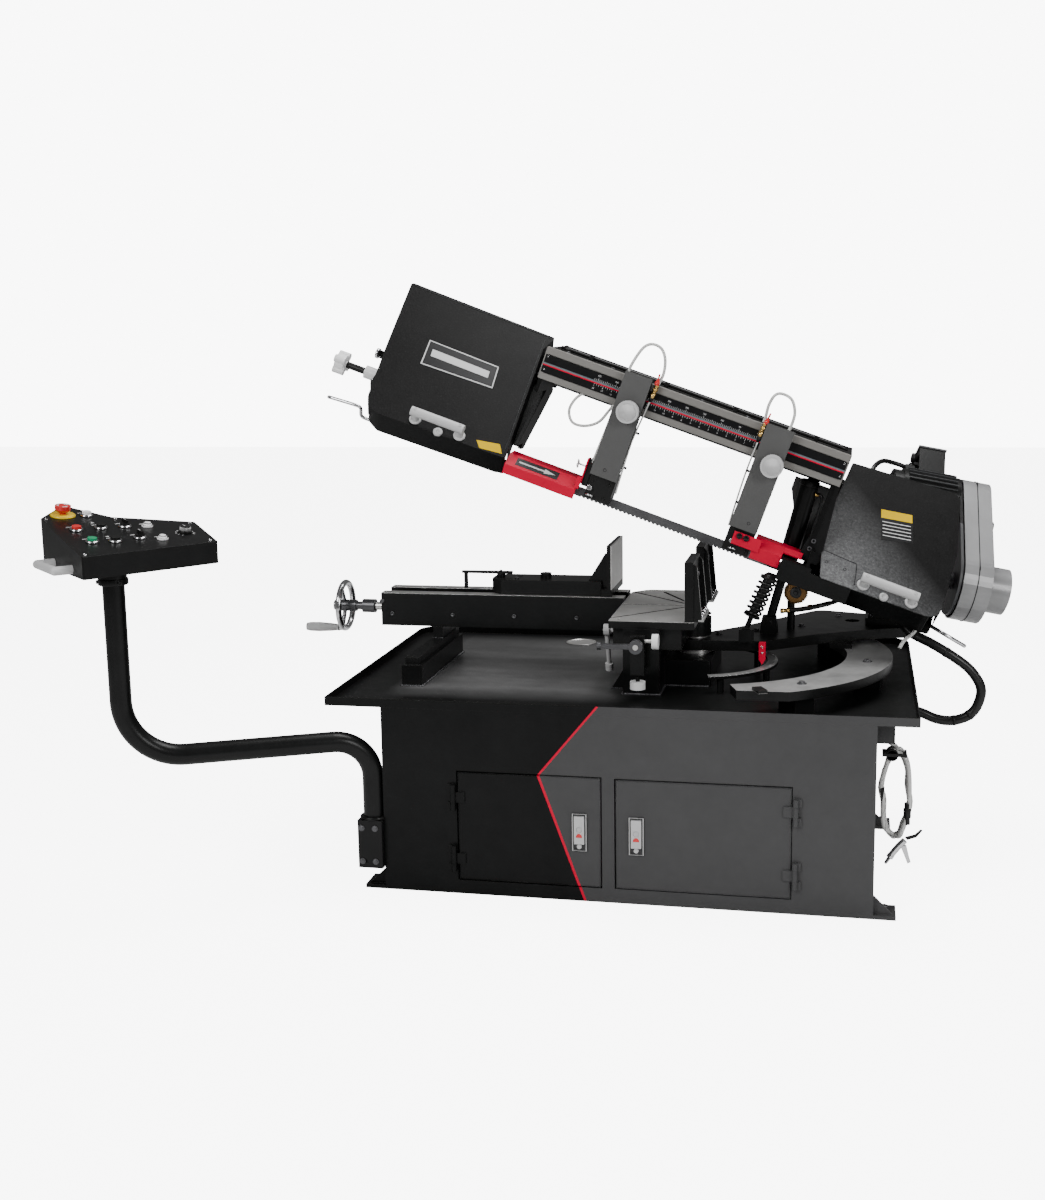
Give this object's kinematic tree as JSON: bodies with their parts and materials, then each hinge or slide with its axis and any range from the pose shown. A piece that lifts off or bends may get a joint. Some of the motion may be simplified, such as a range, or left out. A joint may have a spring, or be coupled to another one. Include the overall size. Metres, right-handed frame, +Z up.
{
  "type": "horizontal band saw",
  "caption": "Swivel-head horizontal metal-cutting band saw: tilting bow with canted wheels and sliding guides over a slotted table and vise, on a cabinet with chip tray and swing-out pendant.",
  "frame": {"origin": "on the floor under the centre of the cabinet's width, 480 mm behind its front face", "axes": "+X along the machine to the drive side, +Y to the back, +Z up"},
  "size_m": [2.4327, 1.3912, 1.5806],
  "materials": {
    "cabinet_grey": "semi-gloss dark grey powder coat, black on the operator's left",
    "gloss_black": "gloss black enamel",
    "texture_black": "wrinkle-textured black powder coat",
    "grey_paint": "satin mid-grey enamel",
    "red_paint": "gloss red enamel",
    "machined_steel": "ground and milled steel",
    "chrome": "polished chrome",
    "cast_grey": "painted cast iron",
    "pale_plastic": "light grey moulded plastic",
    "black_plastic": "black moulded plastic",
    "red_plastic": "red moulded plastic",
    "green_plastic": "green moulded plastic",
    "white_plastic": "white moulded plastic",
    "rail_grey": "bead-blasted grey rail",
    "spring_black": "black spring steel",
    "brush_wire": "crimped wire",
    "blade_steel": "ground blade steel",
    "clear_hose": "clear plastic hose",
    "brass_fitting": "turned brass",
    "black_rubber": "black rubber and cable sheath"
  },
  "bodies": {
    "base": {"base_cabinet": "cabinet_grey", "chip_tray": "gloss_black", "coolant_unit": "grey_paint", "pendant_socket": "gloss_black", "infeed_support": "gloss_black", "vise_bed": "gloss_black", "table_column": "gloss_black", "saw_table": "machined_steel", "fixed_jaws": "cast_grey", "swivel_ring": "machined_steel", "scale_arc": "machined_steel", "stop_rod": "machined_steel", "pivot_shaft": "machined_steel"},
    "stop_arm": {"stop_arm": "machined_steel"},
    "table_clamp_lever": {"table_clamp_lever": "gloss_black"},
    "left_door": {"left_door": "cabinet_grey"},
    "right_door": {"right_door": "cabinet_grey"},
    "left_latch": {"left_latch": "machined_steel"},
    "right_latch": {"right_latch": "machined_steel"},
    "pendant_arm": {"pendant_arm": "gloss_black"},
    "control_box": {"control_box": "gloss_black", "panel_handle": "pale_plastic"},
    "estop_button": {"estop_button": "red_plastic"},
    "white_button": {"white_button": "white_plastic"},
    "red_button": {"red_button": "red_plastic"},
    "green_button": {"green_button": "green_plastic"},
    "up_button": {"up_button": "black_plastic"},
    "down_button": {"down_button": "black_plastic"},
    "selector_left": {"selector_left": "black_plastic"},
    "selector_right": {"selector_right": "black_plastic"},
    "speed_knob": {"speed_knob": "black_plastic"},
    "vise_jaw": {"moving_jaw": "gloss_black"},
    "vise_lock_lever": {"vise_lock_lever": "gloss_black"},
    "vise_handwheel": {"vise_handwheel": "chrome"},
    "handwheel_grip": {"handwheel_grip": "pale_plastic"},
    "swivel": {"swivel_arm": "gloss_black", "angle_pointer": "red_paint", "head_pivot_shaft": "machined_steel", "balance_spring": "spring_black"},
    "head": {"bow_frame": "texture_black", "ruler_rail": "rail_grey", "gear_motor": "gloss_black", "belt_cover": "grey_paint", "saw_blade": "blade_steel"},
    "left_cover": {"left_wheel_cover": "texture_black", "left_cover_handle": "pale_plastic"},
    "right_cover": {"right_wheel_cover": "texture_black", "right_cover_handle": "pale_plastic"},
    "idler": {"idler_wheel": "cast_grey"},
    "drive": {"drive_wheel": "cast_grey"},
    "guide_left": {"guide_arm_left": "grey_paint", "blade_guard_left": "red_paint"},
    "guide_right": {"guide_arm_right": "grey_paint", "blade_guard_right": "red_paint"},
    "guide_knob_left": {"guide_knob_left": "pale_plastic"},
    "guide_knob_right": {"guide_knob_right": "pale_plastic"},
    "tension_handle": {"tension_handle": "pale_plastic"},
    "wire_brush": {"wire_brush": "brush_wire"},
    "feed_cylinder": {"feed_cylinder": "gloss_black"},
    "cylinder_rod": {"cylinder_rod": "chrome"}
  },
  "joints": [
    {"name": "swivel", "type": "hinge", "parent": "base", "child": "swivel", "pos_m": [0.138, -0.015, 0.59], "axis": [0, 0, -1], "range_deg": [-45, 60]},
    {"name": "head_tilt", "type": "hinge", "parent": "swivel", "child": "head", "pos_m": [0.651, 0.25, 0.716], "axis": [0, 1, 0], "range_deg": [-20, 20], "deforming": ["balance_spring"]},
    {"name": "cylinder_pivot", "type": "hinge", "parent": "head", "child": "feed_cylinder", "pos_m": [0.418, 0.061, 0.94], "axis": [0, 1, 0], "range_deg": [-20, 20]},
    {"name": "cylinder_stroke", "type": "slide", "parent": "feed_cylinder", "child": "cylinder_rod", "axis": [-0.2618, 0, -0.9651], "range_m": [-0.15, 0.15]},
    {"name": "left_cover_hinge", "type": "hinge", "parent": "head", "child": "left_cover", "pos_m": [-0.50723, 0.31593, 1.45168], "axis": [-0.9397, 0, 0.342], "range_deg": [0, 80]},
    {"name": "right_cover_hinge", "type": "hinge", "parent": "head", "child": "right_cover", "pos_m": [0.70179, 0.27916, 0.9725], "axis": [-0.9397, 0, 0.342], "range_deg": [0, 80]},
    {"name": "drive_spin", "type": "hinge", "parent": "head", "child": "drive", "pos_m": [0.64988, 0.10208, 0.82403], "axis": [0.2418, -0.7071, 0.6645], "continuous": true},
    {"name": "idler_spin", "type": "hinge", "parent": "head", "child": "idler", "pos_m": [-0.5548, 0.10208, 1.2625], "axis": [0.2418, -0.7071, 0.6645], "continuous": true},
    {"name": "brush_spin", "type": "hinge", "parent": "head", "child": "wire_brush", "pos_m": [0.40948, -0.015, 0.73367], "axis": [0, -1, 0], "continuous": true},
    {"name": "guide_left_slide", "type": "slide", "parent": "head", "child": "guide_left", "axis": [0.9397, 0, -0.342], "range_m": [0, 0.25]},
    {"name": "guide_right_slide", "type": "slide", "parent": "head", "child": "guide_right", "axis": [-0.9397, 0, 0.342], "range_m": [-0.035, 0.05]},
    {"name": "guide_left_clamp", "type": "hinge", "parent": "guide_left", "child": "guide_knob_left", "pos_m": [-0.03618, -0.07, 1.22258], "axis": [0, -1, 0], "range_deg": [-90, 90]},
    {"name": "guide_right_clamp", "type": "hinge", "parent": "guide_right", "child": "guide_knob_right", "pos_m": [0.34491, -0.07, 1.07962], "axis": [0, -1, 0], "range_deg": [-90, 90]},
    {"name": "blade_tension", "type": "hinge", "parent": "head", "child": "tension_handle", "pos_m": [-0.8288, 0.1339, 1.32837], "axis": [0.9397, 0, -0.342], "range_deg": [-360, 360]},
    {"name": "vise_slide", "type": "slide", "parent": "base", "child": "vise_jaw", "axis": [-1, 0, 0], "range_m": [-0.225, 0.18]},
    {"name": "vise_lock", "type": "hinge", "parent": "vise_jaw", "child": "vise_lock_lever", "pos_m": [-0.432, 0.095, 0.755], "axis": [0, 0, 1], "range_deg": [-60, 30]},
    {"name": "vise_screw", "type": "hinge", "parent": "base", "child": "vise_handwheel", "pos_m": [-0.9, 0.095, 0.648], "axis": [1, 0, 0], "continuous": true},
    {"name": "grip_spin", "type": "hinge", "parent": "vise_handwheel", "child": "handwheel_grip", "pos_m": [-0.98, 0.095, 0.581], "axis": [1, 0, 0], "continuous": true},
    {"name": "stop_swing", "type": "hinge", "parent": "base", "child": "stop_arm", "pos_m": [0.02, -0.345, 0.64], "axis": [0, -1, 0], "range_deg": [0, 90]},
    {"name": "table_clamp", "type": "hinge", "parent": "base", "child": "table_clamp_lever", "pos_m": [-0.092, -0.11, 0.636], "axis": [1, 0, 0], "range_deg": [-40, 60]},
    {"name": "left_door_hinge", "type": "hinge", "parent": "base", "child": "left_door", "pos_m": [-0.435, -0.488, 0.185], "axis": [0, 0, -1], "range_deg": [0, 110]},
    {"name": "right_door_hinge", "type": "hinge", "parent": "base", "child": "right_door", "pos_m": [0.434, -0.488, 0.182], "axis": [0, 0, 1], "range_deg": [0, 110]},
    {"name": "left_latch_flip", "type": "hinge", "parent": "left_door", "child": "left_latch", "pos_m": [-0.106, -0.488, 0.226], "axis": [-1, 0, 0], "range_deg": [0, 35]},
    {"name": "right_latch_flip", "type": "hinge", "parent": "right_door", "child": "right_latch", "pos_m": [0.0395, -0.488, 0.223], "axis": [-1, 0, 0], "range_deg": [0, 35]},
    {"name": "pendant_swing", "type": "hinge", "parent": "base", "child": "pendant_arm", "pos_m": [-0.656, -0.4645, 0.2], "axis": [0, 0, 1], "range_deg": [-40, 25]},
    {"name": "panel_turn", "type": "hinge", "parent": "pendant_arm", "child": "control_box", "pos_m": [-1.2124, -0.7454, 0.86], "axis": [0, 0, 1], "range_deg": [-90, 90]},
    {"name": "estop_press", "type": "slide", "parent": "control_box", "child": "estop_button", "axis": [-0.1569, 0.1144, -0.981], "range_m": [0, 0.004]},
    {"name": "white_press", "type": "slide", "parent": "control_box", "child": "white_button", "axis": [-0.1569, 0.1144, -0.981], "range_m": [0, 0.004]},
    {"name": "red_press", "type": "slide", "parent": "control_box", "child": "red_button", "axis": [-0.1569, 0.1144, -0.981], "range_m": [0, 0.004]},
    {"name": "green_press", "type": "slide", "parent": "control_box", "child": "green_button", "axis": [-0.1569, 0.1144, -0.981], "range_m": [0, 0.004]},
    {"name": "up_press", "type": "slide", "parent": "control_box", "child": "up_button", "axis": [-0.1569, 0.1144, -0.981], "range_m": [0, 0.004]},
    {"name": "down_press", "type": "slide", "parent": "control_box", "child": "down_button", "axis": [-0.1569, 0.1144, -0.981], "range_m": [0, 0.004]},
    {"name": "selector_left_turn", "type": "hinge", "parent": "control_box", "child": "selector_left", "pos_m": [-1.23505, -0.61897, 0.98074], "axis": [0.1569, -0.1144, 0.981], "range_deg": [-45, 45]},
    {"name": "selector_right_turn", "type": "hinge", "parent": "control_box", "child": "selector_right", "pos_m": [-1.16418, -0.68302, 0.96193], "axis": [0.1569, -0.1144, 0.981], "range_deg": [-45, 45]},
    {"name": "speed_turn", "type": "hinge", "parent": "control_box", "child": "speed_knob", "pos_m": [-1.09075, -0.58063, 0.96213], "axis": [0.1569, -0.1144, 0.981], "range_deg": [-135, 135]}
  ],
  "couplings": [
    {"joint": "idler_spin", "follows": "drive_spin", "ratio": 1},
    {"joint": "brush_spin", "follows": "drive_spin", "ratio": -4},
    {"joint": "cylinder_pivot", "follows": "head_tilt", "ratio": -0.51128},
    {"joint": "cylinder_stroke", "follows": "head_tilt", "m_per_rad": 0.28263}
  ]
}
